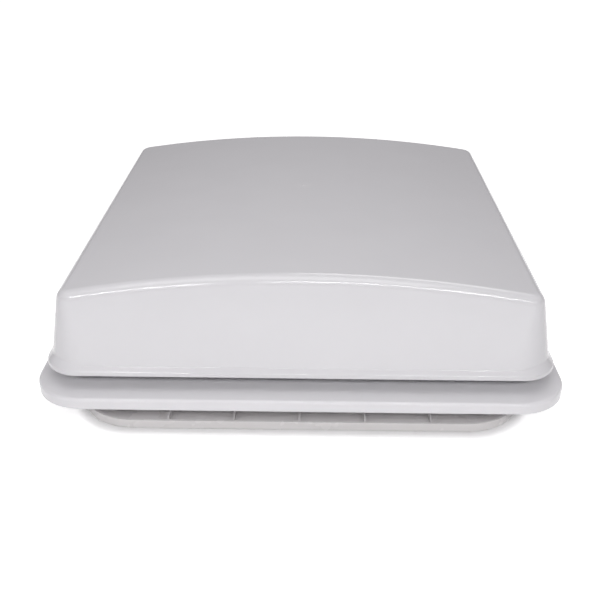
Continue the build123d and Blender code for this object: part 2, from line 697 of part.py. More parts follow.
# Worm shaft: single-start worm that meshes with the sector, a journal at each end and a
# square lower end for the crank
thread_bottom = pivot_z - worm_pitch * (thread_phase + math.floor(thread_length / 2 / worm_pitch))
upper_plate = housing_top - housing_plate_thickness
lower_plate = housing_bottom + housing_plate_thickness
core_bottom = lower_plate + bush_flange_thickness + seat_clearance
core_top = upper_plate - bush_flange_thickness - seat_clearance
crank_hub_top = dish_roof_bottom - crank_hub_top_gap
worm_root = worm_pitch_radius - gear_dedendum
worm_crest = worm_pitch_radius + gear_addendum
thread_root_half = pitch_half_tooth + gear_dedendum * flank_slope
thread_crest_half = pitch_half_tooth - gear_addendum * flank_slope
with BuildPart() as worm_shaft:
    helix_plane = Plane(origin=(0, worm_y, thread_bottom))
    with BuildLine(helix_plane) as helix:
        Helix(pitch=worm_pitch, height=thread_length, radius=worm_pitch_radius)
    start = helix.line @ 0
    with BuildSketch(Plane(origin=start, x_dir=(1, 0, 0), z_dir=helix.line % 0)) as thread:
        Polygon((worm_root - worm_pitch_radius - flank_backlash, -thread_root_half),
                (worm_root - worm_pitch_radius - flank_backlash, thread_root_half),
                (gear_addendum, thread_crest_half), (gear_addendum, -thread_crest_half), align=None)
    sweep(thread.sketch, path=helix.line, is_frenet=True)
    rod((0, worm_y, core_bottom), (0, 0, 1), worm_root, core_top - core_bottom)
    rod((0, worm_y, crank_hub_top), (0, 0, 1), worm_journal_radius, housing_top - crank_hub_top)
    with BuildSketch(Plane.XY.offset(crank_bottom)) as square:
        with Locations((0, worm_y)):
            RectangleRounded(worm_square, worm_square, worm_square_round)
    extrude(square.sketch, amount=crank_hub_top - crank_bottom)
    rod((0, worm_y, crank_bottom), (0, 0, 1), small_screw[0], screw_bite, Mode.SUBTRACT)
save(worm_shaft, "worm_shaft")

# Gear housing: nylon bracket on the rear wall with cheeks for the cross shaft and plates
# for the worm
housing_rear = wall_in
housing_back_face = wall_in - housing_back_thickness
plate_front = worm_y - worm_crest
cheek_front = pivot_y - housing_front_margin
with BuildPart() as gear_housing:
    span(-housing_back_half, housing_back_half, housing_back_face, housing_rear, housing_bottom, housing_top)
    cheek_out = housing_cheek_inner + housing_cheek_wall
    for side, _ in sides:
        span(side * housing_cheek_inner, side * cheek_out, cheek_front, housing_rear,
             housing_bottom, housing_top)
    span(-cheek_out, cheek_out, plate_front, housing_rear, upper_plate, housing_top)
    span(-cheek_out, cheek_out, plate_front, housing_rear, housing_bottom, lower_plate)
    rod((-cheek_out - tool_overrun, pivot_y, pivot_z), (1, 0, 0), shaft_radius + shaft_clearance,
        2 * (cheek_out + tool_overrun), Mode.SUBTRACT)
    rod((0, worm_y, housing_bottom - tool_overrun), (0, 0, 1), bush_radius,
        housing_top - housing_bottom + 2 * tool_overrun, Mode.SUBTRACT)
    for side, _ in sides:
        for z in (housing_bottom + housing_screw_inset, housing_top - housing_screw_inset):
            rod((side * housing_screw_x, housing_back_face - tool_overrun, z), (0, 1, 0),
                housing_hole, housing_back_thickness + 2 * tool_overrun, Mode.SUBTRACT)
save(gear_housing, "gear_housing")

for name, inner_face, direction in (("lower", lower_plate, -1), ("upper", upper_plate, 1)):
    with BuildPart() as worm_bush:
        rod((0, worm_y, inner_face), (0, 0, direction), bush_radius, housing_plate_thickness)
        rod((0, worm_y, inner_face), (0, 0, -direction), bush_flange_radius, bush_flange_thickness)
        rod((0, worm_y, inner_face - direction * (bush_flange_thickness + tool_overrun)), (0, 0, direction),
            worm_journal_radius + shaft_clearance,
            housing_plate_thickness + bush_flange_thickness + 2 * tool_overrun, Mode.SUBTRACT)
    save(worm_bush, f"worm_bush_{name}")

with BuildPart() as housing_screws:
    for side, _ in sides:
        for z in (housing_bottom + housing_screw_inset, housing_top - housing_screw_inset):
            screw((side * housing_screw_x, housing_back_face, z), (0, 1, 0), housing_screw,
                  housing_back_thickness + frame_wall)
save(housing_screws, "housing_screws")

# Ceiling trim: shallow trough with an outer band, thin cross ribs and a neck that slides
# up inside the spigot, with a cup for each clamp screw
trim_half = trim_side / 2
screen_ledge_bottom = screen_top + seat_clearance
ledge_half = neck_in - screen_ledge_width
ledge_corner = neck_in_corner - screen_ledge_width
screw_seat = trim_bottom + clamp_screw[2] + cap_thickness + 2 * seat_clearance
with BuildPart() as ceiling_trim:
    square_block(trim_half, trim_corner, trim_bottom, -roof_gap)
    fillet(ceiling_trim.edges().group_by(Axis.Z)[0], trim_edge_round)
    band_in = trim_half - trim_band_wall
    square_block(neck_out, neck_corner, trim_bottom, neck_top)
    with BuildSketch(Plane.XY.offset(trim_floor_top)) as trough:
        RectangleRounded(2 * band_in, 2 * band_in, trim_corner - trim_band_wall)
        RectangleRounded(2 * neck_out, 2 * neck_out, neck_corner, mode=Mode.SUBTRACT)
        with GridLocations(rib_spacing, 0, ribs_per_side, 1):
            Rectangle(rib_thickness, trim_side, mode=Mode.SUBTRACT)
        with GridLocations(0, rib_spacing, 1, ribs_per_side):
            Rectangle(trim_side, rib_thickness, mode=Mode.SUBTRACT)
    extrude(trough.sketch, amount=trim_band_height, mode=Mode.SUBTRACT)
    for x, y in corners:
        place = (x * clamp_at, y * clamp_at, trim_bottom)
        rod(place, (0, 0, 1), clamp_cup_radius, clamp_cup_height)
        rod(place, (0, 0, 1), clamp_screw[1] + seat_clearance, screw_seat - trim_bottom, Mode.SUBTRACT)
        rod(place, (0, 0, 1), clamp_screw[0] + shaft_clearance, clamp_cup_height, Mode.SUBTRACT)
    square_block(neck_in, neck_in_corner, trim_bottom - tool_overrun, neck_top + tool_overrun, Mode.SUBTRACT)
    with BuildSketch(Plane.XY.offset(screen_ledge_bottom)) as ledge:
        RectangleRounded(2 * neck_in + neck_wall, 2 * neck_in + neck_wall, neck_in_corner + neck_wall / 2)
        RectangleRounded(2 * ledge_half, 2 * ledge_half, ledge_corner, mode=Mode.SUBTRACT)
        with Locations((0, screen_hinge_y - screen_ledge_gap + trim_half)):
            Rectangle(trim_side, trim_side, mode=Mode.SUBTRACT)
    extrude(ledge.sketch, amount=screen_ledge_thickness)
    cover_boss_bottom = trim_bottom + cover_bottom_inset + cover_plate
    for side, _ in sides:
        with BuildSketch(Plane.XY.offset(cover_boss_bottom)) as boss:
            with Locations((side * cover_screw_x, neck_in - cover_screw_inset)):
                Circle(cover_boss_radius)
            with Locations((side * cover_screw_x, neck_in + neck_wall / 2)):
                Rectangle(2 * cover_boss_radius, neck_wall)
            make_hull()
        extrude(boss.sketch, amount=cover_boss_height)
        rod((side * cover_screw_x, neck_in - cover_screw_inset, cover_boss_bottom), (0, 0, 1),
            small_hole, screw_bite + tool_overrun, Mode.SUBTRACT)
        rod((side * magnet_x, magnet_y, screen_ledge_bottom), (0, 0, 1),
            magnet_radius + magnet_cup_wall, magnet_thickness + magnet_cup_wall)
        rod((side * magnet_x, magnet_y, screen_ledge_bottom), (0, 0, 1),
            magnet_radius + shaft_clearance, magnet_thickness, Mode.SUBTRACT)
save(ceiling_trim, "ceiling_trim")

with BuildPart() as clamp_screws:
    for x, y in corners:
        screw((x * clamp_at, y * clamp_at, screw_seat), (0, 0, 1), clamp_screw, clamp_screw_length)
save(clamp_screws, "clamp_screws")

with BuildPart() as screw_caps:
    for x, y in corners:
        place = (x * clamp_at, y * clamp_at, trim_bottom + seat_clearance)
        rod(place, (0, 0, 1), clamp_screw[1] + seat_clearance, cap_thickness)
save(screw_caps, "screw_caps")

# Operator cover: strip behind the fly screen with a round dish for the crank
cover_bottom = trim_bottom + cover_bottom_inset
cover_half = neck_in - seat_clearance
dish_roof_top = dish_roof_bottom + cover_plate
with BuildPart() as operator_cover:
    with BuildSketch(Plane.XY.offset(cover_bottom)) as strip:
        RectangleRounded(2 * cover_half, 2 * cover_half, neck_in_corner)
        with Locations((0, cover_front - trim_side / 2)):
            Rectangle(trim_side, trim_side, mode=Mode.SUBTRACT)
    extrude(strip.sketch, amount=cover_plate)
    span(-cover_half, cover_half, cover_front, cover_front + cover_wall, cover_bottom,
         cover_bottom + cover_wall_height)
    rod((0, worm_y, cover_bottom), (0, 0, 1), dish_radius + cover_wall, dish_roof_top - cover_bottom)
    for side, _ in sides:
        near = side * screen_hinge_x
        with BuildSketch(side_plane(near - screen_lug_half)) as lug:
            with Locations((screen_hinge_y, screen_pin_z)):
                Circle(screen_lug_radius)
            with Locations((cover_front + cover_wall / 2, screen_pin_z)):
                Rectangle(cover_wall, 2 * screen_lug_radius)
            make_hull()
        extrude(lug.sketch, amount=2 * screen_lug_half)
        rod((near - screen_lug_half - tool_overrun, screen_hinge_y, screen_pin_z), (1, 0, 0),
            screen_pin_radius + shaft_clearance, 2 * (screen_lug_half + tool_overrun), Mode.SUBTRACT)
        rod((side * cover_screw_x, neck_in - cover_screw_inset, cover_bottom - tool_overrun), (0, 0, 1),
            small_hole, cover_plate + 2 * tool_overrun, Mode.SUBTRACT)
    rod((0, worm_y, cover_bottom - tool_overrun), (0, 0, 1), dish_radius,
        dish_roof_bottom - cover_bottom + tool_overrun, Mode.SUBTRACT)
    rod((0, worm_y, dish_roof_bottom - tool_overrun), (0, 0, 1), worm_journal_radius + crank_hub_top_gap / 2,
        cover_plate + 2 * tool_overrun, Mode.SUBTRACT)
save(operator_cover, "operator_cover")

# Crank: forked arm on the worm shaft's square, with a knob that folds out of the fork on
# a cross pin and then turns on its spindle
crank_top = crank_bottom + crank_thickness
knob_pin_z = crank_bottom + crank_thickness / 2
crank_end = knob_pin_distance + crank_tip_radius_to_pin
socket_side = worm_square + 2 * shaft_clearance
with BuildPart() as crank_arm:
    with BuildSketch(Plane.XY.offset(crank_bottom)) as fork:
        with Locations((0, worm_y)):
            Circle(crank_half_width)
        with Locations((crank_end / 2, worm_y)):
            Rectangle(crank_end, 2 * crank_half_width)
        with Locations((crank_slot_start + crank_end / 2, worm_y)):
            Rectangle(crank_end, 2 * crank_slot_half_width, mode=Mode.SUBTRACT)
    extrude(fork.sketch, amount=crank_thickness)
    rod((0, worm_y, crank_top), (0, 0, 1), crank_hub_radius, crank_hub_top - crank_top)
    with BuildSketch(Plane.XY.offset(crank_bottom)) as socket:
        with Locations((0, worm_y)):
            RectangleRounded(socket_side, socket_side, worm_square_round)
    extrude(socket.sketch, amount=crank_hub_top - crank_bottom, mode=Mode.SUBTRACT)
    rod((knob_pin_distance, worm_y - crank_half_width, knob_pin_z), (0, 1, 0), knob_pin_radius,
        2 * crank_half_width, Mode.SUBTRACT)
save(crank_arm, "crank_arm")

with BuildPart() as crank_screw:
    crank_screw_size = (small_screw[0], crank_screw_head, small_screw[2])
    screw((0, worm_y, crank_bottom), (0, 0, 1), crank_screw_size, screw_bite)
save(crank_screw, "crank_screw")

with BuildPart() as knob_pin:
    rod((knob_pin_distance, worm_y - crank_half_width, knob_pin_z), (0, 1, 0), knob_pin_radius,
        2 * crank_half_width)
save(knob_pin, "knob_pin")

knob_end = knob_start + knob_length
with BuildPart() as knob_spindle:
    barrel_half = crank_slot_half_width - seat_clearance
    rod((knob_pin_distance, worm_y - barrel_half, knob_pin_z), (0, 1, 0), knob_barrel_radius, 2 * barrel_half)
    rod((knob_pin_distance, worm_y, knob_pin_z), (-1, 0, 0), knob_spindle_radius, knob_end)
    rod((knob_pin_distance - knob_end, worm_y, knob_pin_z), (1, 0, 0), knob_head_radius, knob_head_thickness)
    rod((knob_pin_distance, worm_y - crank_half_width, knob_pin_z), (0, 1, 0),
        knob_pin_radius + shaft_clearance, 2 * crank_half_width, Mode.SUBTRACT)
save(knob_spindle, "knob_spindle")

with BuildPart() as crank_knob:
    rod((knob_pin_distance - knob_start, worm_y, knob_pin_z), (-1, 0, 0), knob_radius, knob_length)
    chamfer(crank_knob.edges().filter_by(GeomType.CIRCLE), knob_head_thickness)
    rod((knob_pin_distance, worm_y, knob_pin_z), (-1, 0, 0), knob_spindle_radius + shaft_clearance,
        knob_end + tool_overrun, Mode.SUBTRACT)
    rod((knob_pin_distance - knob_end - tool_overrun, worm_y, knob_pin_z), (1, 0, 0),
        knob_head_radius + shaft_clearance, tool_overrun + knob_head_thickness + seat_clearance,
        Mode.SUBTRACT)
save(crank_knob, "crank_knob")

with BuildPart() as cover_screws:
    for side, _ in sides:
        screw((side * cover_screw_x, neck_in - cover_screw_inset, cover_bottom), (0, 0, 1),
              (small_screw[0], small_screw[1], cover_bottom_inset - seat_clearance), cover_plate + screw_bite)
save(cover_screws, "cover_screws")

# Fly screen: moulded frame hinged on the cover's lugs, with a woven mesh held in a rebate
# by a snap-in retainer and steel keepers facing the trim's magnets
screen_rear = cover_front - screen_rear_gap
screen_half = neck_in - swing_clearance
screen_front = -screen_half
opening_half = screen_half - screen_member
opening_rear = screen_rear - screen_member
opening_length = opening_rear + opening_half
opening_corner = neck_in_corner - screen_member
mesh_mid_y = (opening_rear - opening_half) / 2
mesh_width = 2 * (opening_half + mesh_overlap)
mesh_length = opening_length + 2 * mesh_overlap
mesh_bottom = screen_top - screen_height / 2 - mesh_thickness
with BuildPart() as screen_frame:
    with BuildSketch(Plane.XY.offset(screen_bottom)) as outline:
        RectangleRounded(2 * screen_half, 2 * screen_half, neck_in_corner)
        with Locations((0, screen_rear + trim_side / 2)):
            Rectangle(trim_side, trim_side, mode=Mode.SUBTRACT)
        with Locations((0, mesh_mid_y)):
            RectangleRounded(2 * opening_half, opening_length, opening_corner, mode=Mode.SUBTRACT)
    extrude(outline.sketch, amount=screen_height)
    with BuildSketch(Plane.XY.offset(screen_bottom)) as rebate:
        with Locations((0, mesh_mid_y)):
            RectangleRounded(mesh_width, mesh_length, opening_corner + mesh_overlap)
    extrude(rebate.sketch, amount=screen_height / 2, mode=Mode.SUBTRACT)
    pull_front = screen_front + (screen_member - mesh_overlap - pull_depth) / 2
    span(-pull_half_width, pull_half_width, pull_front, pull_front + pull_depth, screen_bottom - pull_height,
         screen_bottom)
    for side, _ in sides:
        x = side * screen_hinge_x
        notch = screen_lug_half + seat_clearance
        notch_front = screen_hinge_y - screen_lug_radius - seat_clearance
        span(x - notch, x + notch, notch_front, screen_rear + tool_overrun,
             screen_bottom - tool_overrun, screen_top + tool_overrun, Mode.SUBTRACT)
        rod((x - screen_pin_half_length, screen_hinge_y, screen_pin_z), (1, 0, 0),
            screen_pin_radius, 2 * screen_pin_half_length, Mode.SUBTRACT)
        rod((side * magnet_x, magnet_y, screen_top - keeper_thickness), (0, 0, 1),
            magnet_radius, keeper_thickness + tool_overrun, Mode.SUBTRACT)
save(screen_frame, "screen_frame")

with BuildPart() as fly_mesh:
    with BuildSketch(Plane.XY.offset(mesh_bottom)) as net:
        with Locations((0, mesh_mid_y)):
            RectangleRounded(mesh_width, mesh_length, opening_corner + mesh_overlap)
            column = 2 * opening_half / mesh_columns
            row = opening_length / mesh_rows
            with GridLocations(column, row, mesh_columns, mesh_rows):
                Rectangle(column - mesh_strand, row - mesh_strand, mode=Mode.SUBTRACT)
    extrude(net.sketch, amount=mesh_thickness)
save(fly_mesh, "fly_mesh")

with BuildPart() as mesh_retainer:
    with BuildSketch(Plane.XY.offset(screen_bottom)) as ring:
        with Locations((0, mesh_mid_y)):
            RectangleRounded(mesh_width, mesh_length, opening_corner + mesh_overlap)
            RectangleRounded(mesh_width - 2 * retainer_wall, mesh_length - 2 * retainer_wall,
                             opening_corner + mesh_overlap - retainer_wall, mode=Mode.SUBTRACT)
    extrude(ring.sketch, amount=mesh_bottom - screen_bottom)
save(mesh_retainer, "mesh_retainer")

with BuildPart() as screen_pins:
    for side, _ in sides:
        rod((side * screen_hinge_x - screen_pin_half_length, screen_hinge_y, screen_pin_z), (1, 0, 0),
            screen_pin_radius, 2 * screen_pin_half_length)
save(screen_pins, "screen_pins")

with BuildPart() as screen_magnets:
    for side, _ in sides:
        rod((side * magnet_x, magnet_y, screen_ledge_bottom), (0, 0, 1),
            magnet_radius, magnet_thickness)
save(screen_magnets, "screen_magnets")

with BuildPart() as screen_keepers:
    for side, _ in sides:
        rod((side * magnet_x, magnet_y, screen_top - keeper_thickness), (0, 0, 1),
            magnet_radius, keeper_thickness)
save(screen_keepers, "screen_keepers")
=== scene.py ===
import math

import bmesh
import bpy
from mathutils import Matrix, Vector


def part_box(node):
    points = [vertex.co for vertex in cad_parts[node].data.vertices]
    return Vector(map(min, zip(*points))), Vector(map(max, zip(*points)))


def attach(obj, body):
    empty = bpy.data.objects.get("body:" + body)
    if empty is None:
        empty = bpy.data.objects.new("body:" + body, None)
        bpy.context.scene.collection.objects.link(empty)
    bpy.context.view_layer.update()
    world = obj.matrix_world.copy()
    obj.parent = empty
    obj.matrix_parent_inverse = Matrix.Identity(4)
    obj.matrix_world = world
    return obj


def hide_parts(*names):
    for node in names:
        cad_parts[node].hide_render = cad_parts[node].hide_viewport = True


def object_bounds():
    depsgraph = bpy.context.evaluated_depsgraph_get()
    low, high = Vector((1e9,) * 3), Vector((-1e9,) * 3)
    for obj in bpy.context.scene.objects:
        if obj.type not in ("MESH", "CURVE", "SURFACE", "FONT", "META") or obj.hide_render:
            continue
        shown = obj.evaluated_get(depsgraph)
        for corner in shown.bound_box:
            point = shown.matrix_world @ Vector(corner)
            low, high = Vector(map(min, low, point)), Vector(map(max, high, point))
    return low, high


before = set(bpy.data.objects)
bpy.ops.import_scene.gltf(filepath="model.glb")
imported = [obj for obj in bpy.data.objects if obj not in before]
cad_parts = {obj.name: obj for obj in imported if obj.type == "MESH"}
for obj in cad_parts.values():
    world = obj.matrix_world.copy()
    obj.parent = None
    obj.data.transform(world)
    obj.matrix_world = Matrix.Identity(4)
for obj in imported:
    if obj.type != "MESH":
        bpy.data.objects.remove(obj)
cad_low, cad_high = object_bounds()


# Viewpoint. The vent is seen from the front, a little above it, from under a metre
# away. Distances are metres in the vent's own frame and angles are radians.
camera_place = Vector((0.0133, -0.8987, 0.4524))
camera_down = 0.479
camera_turn = -0.0188
camera_roll = 0.0014
lens_mm = 51.35
sensor_mm = 36.0

forward = Vector((math.sin(camera_turn) * math.cos(camera_down),
                  math.cos(camera_turn) * math.cos(camera_down), -math.sin(camera_down)))
level = Vector((math.cos(camera_turn), -math.sin(camera_turn), 0))
upward = level.cross(forward)
right = math.cos(camera_roll) * level + math.sin(camera_roll) * upward
top = right.cross(forward)

camera_data = bpy.data.cameras.new("camera")
camera_data.lens = lens_mm
camera_data.sensor_width = sensor_mm
camera = bpy.data.objects.new("camera", camera_data)
camera.matrix_world = Matrix.Translation(camera_place) @ Matrix((right, top, -forward)).transposed().to_4x4()
bpy.context.scene.collection.objects.link(camera)
bpy.context.scene.camera = camera
bpy.context.scene.view_settings.view_transform = "Standard"


# Studio floor. A sheet of matt white card that the vent stands on. It looks white to the
# camera and in reflections. Close round the trim's foot its glow is turned down, which
# paints a darker contact shadow there on top of the vent's real one.
def srgb(code):
    """A hex colour as linear red, green, blue and alpha."""
    parts = [int(code[i:i + 2], 16) / 255 for i in (1, 3, 5)]
    return tuple(c / 12.92 if c <= 0.04045 else ((c + 0.055) / 1.055) ** 2.4 for c in parts) + (1.0,)


def add(tree, kind, inputs=(), **settings):
    """Adds a node with its settings, and sets or links each of its inputs."""
    node = tree.nodes.new(kind)
    for name, value in settings.items():
        setattr(node, name, value)
    for name, value in dict(inputs).items():
        if isinstance(value, bpy.types.NodeSocket):
            tree.links.new(value, node.inputs[name])
        else:
            node.inputs[name].default_value = value
    return node


def blank(name):
    """An empty node material and its tree."""
    material = bpy.data.materials.new(name)
    material.use_nodes = True
    material.node_tree.nodes.clear()
    return material, material.node_tree


floor_half = 4.0
# The floor's glow at the trim's foot, kept low to paint a darker contact shadow there
foot_shadow_glow = 0.05
glow_near = 0.58
glow_far = 0.80
foot_straight = 0.162
foot_corner = 0.058
foot_shadow_fade = 0.014
far_start = 0.2
far_end = 1.6
card_fibre_mm = 16.0
floor_clearance = 0.0002

card, tree = blank("matt white card")
place = add(tree, "ShaderNodeNewGeometry").outputs["Position"]
fibre = add(tree, "ShaderNodeTexNoise", {"Vector": place, "Scale": 1000 / card_fibre_mm, "Detail": 2.0})
tone = add(tree, "ShaderNodeMix", {"Factor": fibre.outputs["Fac"], "A": srgb("#f4f4f4"),
                                   "B": srgb("#fafafa")}, data_type="RGBA")
matt = add(tree, "ShaderNodeBsdfDiffuse", {"Color": tone.outputs["Result"]})
rays = add(tree, "ShaderNodeLightPath").outputs
seen = add(tree, "ShaderNodeMath", {0: rays["Is Camera Ray"], 1: rays["Is Glossy Ray"]}, operation="MAXIMUM")
seen = add(tree, "ShaderNodeMath", {0: seen.outputs[0], 1: rays["Is Transmission Ray"]}, operation="MAXIMUM")
across = add(tree, "ShaderNodeVectorMath", {0: place, 1: (1, 1, 0)}, operation="MULTIPLY")
across = add(tree, "ShaderNodeVectorMath", {0: across.outputs[0]}, operation="ABSOLUTE")
beyond = add(tree, "ShaderNodeVectorMath", {0: across.outputs[0], 1: (foot_straight, foot_straight, 0)},
             operation="SUBTRACT")
beyond = add(tree, "ShaderNodeVectorMath", {0: beyond.outputs[0], 1: (0, 0, 0)}, operation="MAXIMUM")
beyond = add(tree, "ShaderNodeVectorMath", {0: beyond.outputs[0]}, operation="LENGTH")
# Painted shade: the glow rises from almost nothing at the trim's foot to full over a short fade, darkening
# the floor round the foot
painted_foot_shadow = add(tree, "ShaderNodeMapRange", {"Value": beyond.outputs["Value"], "From Min": foot_corner,
                                        "From Max": foot_corner + foot_shadow_fade, "To Min": foot_shadow_glow,
                                        "To Max": glow_near}, interpolation_type="SMOOTHSTEP")
far = add(tree, "ShaderNodeMapRange", {"Value": beyond.outputs["Value"], "From Min": far_start,
                                       "From Max": far_end, "To Min": 0.0, "To Max": glow_far - glow_near})
glow = add(tree, "ShaderNodeMath", {0: painted_foot_shadow.outputs["Result"], 1: far.outputs["Result"]}, operation="ADD")
glow = add(tree, "ShaderNodeMath", {0: seen.outputs[0], 1: glow.outputs[0]}, operation="MULTIPLY")
shine = add(tree, "ShaderNodeEmission", {"Color": srgb("#ffffff"), "Strength": glow.outputs[0]})
both = add(tree, "ShaderNodeAddShader", {0: matt.outputs[0], 1: shine.outputs[0]})
add(tree, "ShaderNodeOutputMaterial", {"Surface": both.outputs[0]})

floor_level = cad_low[2] - floor_clearance
floor_corners = [(-floor_half, -floor_half, floor_level), (floor_half, -floor_half, floor_level),
                 (floor_half, floor_half, floor_level), (-floor_half, floor_half, floor_level)]
floor_mesh = bpy.data.meshes.new("studio_floor")
floor_mesh.from_pydata(floor_corners, [], [(0, 1, 2, 3)])
floor_mesh.materials.append(card)
floor = bpy.data.objects.new("studio_floor", floor_mesh)
bpy.context.scene.collection.objects.link(floor)


# Light. An evenly lit white room that the camera sees as a white backdrop, a softbox
# overhead and a fainter one behind, and a long lamp in front on each side, whose
# reflections draw the bright lines along the lid's front edges.
room_strength = 0.27
backdrop_strength = 1.2
lamp_aim = Vector((0, -0.15, 0.05))

world = bpy.data.worlds.new("studio room")
world.use_nodes = True
tree = world.node_tree
tree.nodes.clear()
in_view = add(tree, "ShaderNodeLightPath").outputs["Is Camera Ray"]
strength = add(tree, "ShaderNodeMapRange", {"Value": in_view, "To Min": room_strength,
                                            "To Max": backdrop_strength})
room = add(tree, "ShaderNodeBackground", {"Color": srgb("#f7f3f6"), "Strength": strength.outputs["Result"]})
add(tree, "ShaderNodeOutputWorld", {"Surface": room.outputs[0]})
bpy.context.scene.world = world

# Each lamp's place and size in metres, and its power in watts
lamps = {
    "top_softbox": ((-0.1, -0.42, 1.0), (1.0, 0.5), 2.6),
    "rear_softbox": ((0.5, 1.0, 1.6), (1.2, 0.6), 5.0),
    "right_lamp": ((0.4, -1.5, 1.02), (1.2, 0.06), 7.8),
    "left_lamp": ((-0.66, -1.5, 1.02), (0.7, 0.05), 5.4),
}
for name, (place, size, power) in lamps.items():
    lamp_data = bpy.data.lights.new(name, "AREA")
    lamp_data.shape = "RECTANGLE"
    lamp_data.size, lamp_data.size_y = size
    lamp_data.energy = power
    lamp = bpy.data.objects.new(name, lamp_data)
    lamp.location = place
    lamp.rotation_euler = (lamp_aim - Vector(place)).to_track_quat("-Z", "Y").to_euler()
    bpy.context.scene.collection.objects.link(lamp)


# Outer frame. Flange, upstand and spigot moulded in one piece of ABS, titanium white. The
# polished mould leaves a glossy face with a faint orange peel and slight clouding.
def dress(material, *names):
    """Gives CAD nodes a material in every slot."""
    for name in names:
        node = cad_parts[name]
        if not node.data.materials:
            node.data.materials.append(material)
        for slot in node.material_slots:
            slot.material = material


def moulded(name, light, dark, roughness, peel_mm, peel_depth, ior, clouding_mm=45.0):
    """A moulded material with soft clouding and a fine peel, each of a given size."""
    material, tree = blank(name)
    place = add(tree, "ShaderNodeTexCoord").outputs["Object"]
    cloud = add(tree, "ShaderNodeTexNoise", {"Vector": place, "Scale": 1000 / clouding_mm, "Detail": 3.0,
                                             "Roughness": 0.55})
    colour = add(tree, "ShaderNodeMix", {"Factor": cloud.outputs["Fac"], "A": srgb(dark), "B": srgb(light)},
                 data_type="RGBA")
    sheen = add(tree, "ShaderNodeMapRange", {"Value": cloud.outputs["Fac"], "From Min": 0.3, "From Max": 0.7,
                                             "To Min": roughness * 0.9, "To Max": roughness * 1.12})
    peel = add(tree, "ShaderNodeTexNoise", {"Vector": place, "Scale": 1000 / peel_mm, "Detail": 1.0})
    bump = add(tree, "ShaderNodeBump", {"Height": peel.outputs["Fac"], "Strength": peel_depth,
                                        "Distance": 0.0002})
    shader = add(tree, "ShaderNodeBsdfPrincipled", {"Base Color": colour.outputs["Result"], "IOR": ior,
                                                    "Roughness": sheen.outputs["Result"],
                                                    "Normal": bump.outputs["Normal"]})
    add(tree, "ShaderNodeOutputMaterial", {"Surface": shader.outputs[0]})
    return material


dress(moulded("moulded gloss ABS", "#eeedf0", "#eae9ec", 0.065, 3.0, 0.05, 1.54), "roof_frame")


# Lid seal. An extruded EPDM rubber bulb on a U-shaped grip, pushed down over the top of
# the upstand and butted at the rear. Near black and dull, with draw lines along it.
seal_mid = 0.1965
seal_corner = 0.0165
seal_radius = 0.003
seal_bulb_z = 0.0397
grip_foot = 0.029
grip_web = 0.035
grip_top = 0.037
grip_out = 0.003
grip_in = 0.0015
grip_chamfer = 0.0006
bulb_overlap = 0.25
corner_steps = 10
bulb_steps = 20
sharp_from = math.radians(50)
draw_line_mm = 0.5
dust_mm = 12.0

shoulder = math.asin((seal_bulb_z - grip_top) / seal_radius) + bulb_overlap
section = [(grip_in, grip_web), (grip_in, grip_foot), (grip_out, grip_foot),
           (grip_out, grip_top - grip_chamfer), (grip_out - grip_chamfer, grip_top)]
for i in range(bulb_steps + 1):
    angle = -shoulder + (math.pi + 2 * shoulder) * i / bulb_steps
    section.append((seal_radius * math.cos(angle), seal_bulb_z + seal_radius * math.sin(angle)))
section += [(-x, z) for x, z in reversed(section[:5])]

stations = []
straight = seal_mid - seal_corner
for quarter in range(4):
    for i in range(corner_steps + 1):
        angle = math.pi / 2 * (quarter + i / corner_steps)
        middle = math.pi / 4 + quarter * math.pi / 2
        centre = Vector((math.copysign(straight, math.cos(middle)),
                         math.copysign(straight, math.sin(middle))))
        stations.append((centre, Vector((math.cos(angle), math.sin(angle)))))

seal = bmesh.new()
rings = []
for centre, outward in stations:
    rings.append([seal.verts.new((*(centre + outward * (seal_corner + x)), z)) for x, z in section])
for ring, following in zip(rings, rings[1:] + rings[:1]):
    for i in range(len(section)):
        face = seal.faces.new((ring[i - 1], following[i - 1], following[i], ring[i]))
        face.smooth = True
bmesh.ops.recalc_face_normals(seal, faces=seal.faces)
seal_mesh = bpy.data.meshes.new("seal_bulb")
seal.to_mesh(seal_mesh)
seal.free()
seal_mesh.set_sharp_from_angle(angle=sharp_from)
seal_bulb = bpy.data.objects.new("seal_bulb", seal_mesh)
bpy.context.scene.collection.objects.link(seal_bulb)

rubber, tree = blank("extruded EPDM rubber")
place = add(tree, "ShaderNodeTexCoord").outputs["Object"]
height = add(tree, "ShaderNodeMapping", {"Vector": place, "Scale": (0.02, 0.02, 1.0)})
draw_lines = add(tree, "ShaderNodeTexNoise", {"Vector": height.outputs[0], "Scale": 1000 / draw_line_mm,
                                              "Detail": 2.0})
dust = add(tree, "ShaderNodeTexNoise", {"Vector": place, "Scale": 1000 / dust_mm, "Detail": 4.0})
colour = add(tree, "ShaderNodeMix", {"Factor": dust.outputs["Fac"], "A": srgb("#1d1c1c"),
                                     "B": srgb("#302f2e")}, data_type="RGBA")
sheen = add(tree, "ShaderNodeMapRange", {"Value": dust.outputs["Fac"], "To Min": 0.55, "To Max": 0.85})
bump = add(tree, "ShaderNodeBump", {"Height": draw_lines.outputs["Fac"], "Strength": 0.3, "Distance": 0.0002})
shader = add(tree, "ShaderNodeBsdfPrincipled", {"Base Color": colour.outputs["Result"], "IOR": 1.52,
                                                "Roughness": sheen.outputs["Result"],
                                                "Normal": bump.outputs["Normal"]})
add(tree, "ShaderNodeOutputMaterial", {"Surface": shader.outputs[0]})
seal_mesh.materials.append(rubber)
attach(seal_bulb, "outer_frame")
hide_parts("lid_seal")


# Lid hinges. Brackets on the upstand and leaves under the lid's ring, moulded in black
# glass-filled nylon, which is matt and mottled where the fibres come to the surface.
filled_nylon = moulded("glass-filled nylon", "#2a2a2c", "#1d1d1f", 0.52, 0.8, 0.5, 1.53, 6.0)
dress(filled_nylon, "hinge_bracket_left", "hinge_bracket_right", "hinge_leaf_left", "hinge_leaf_right")


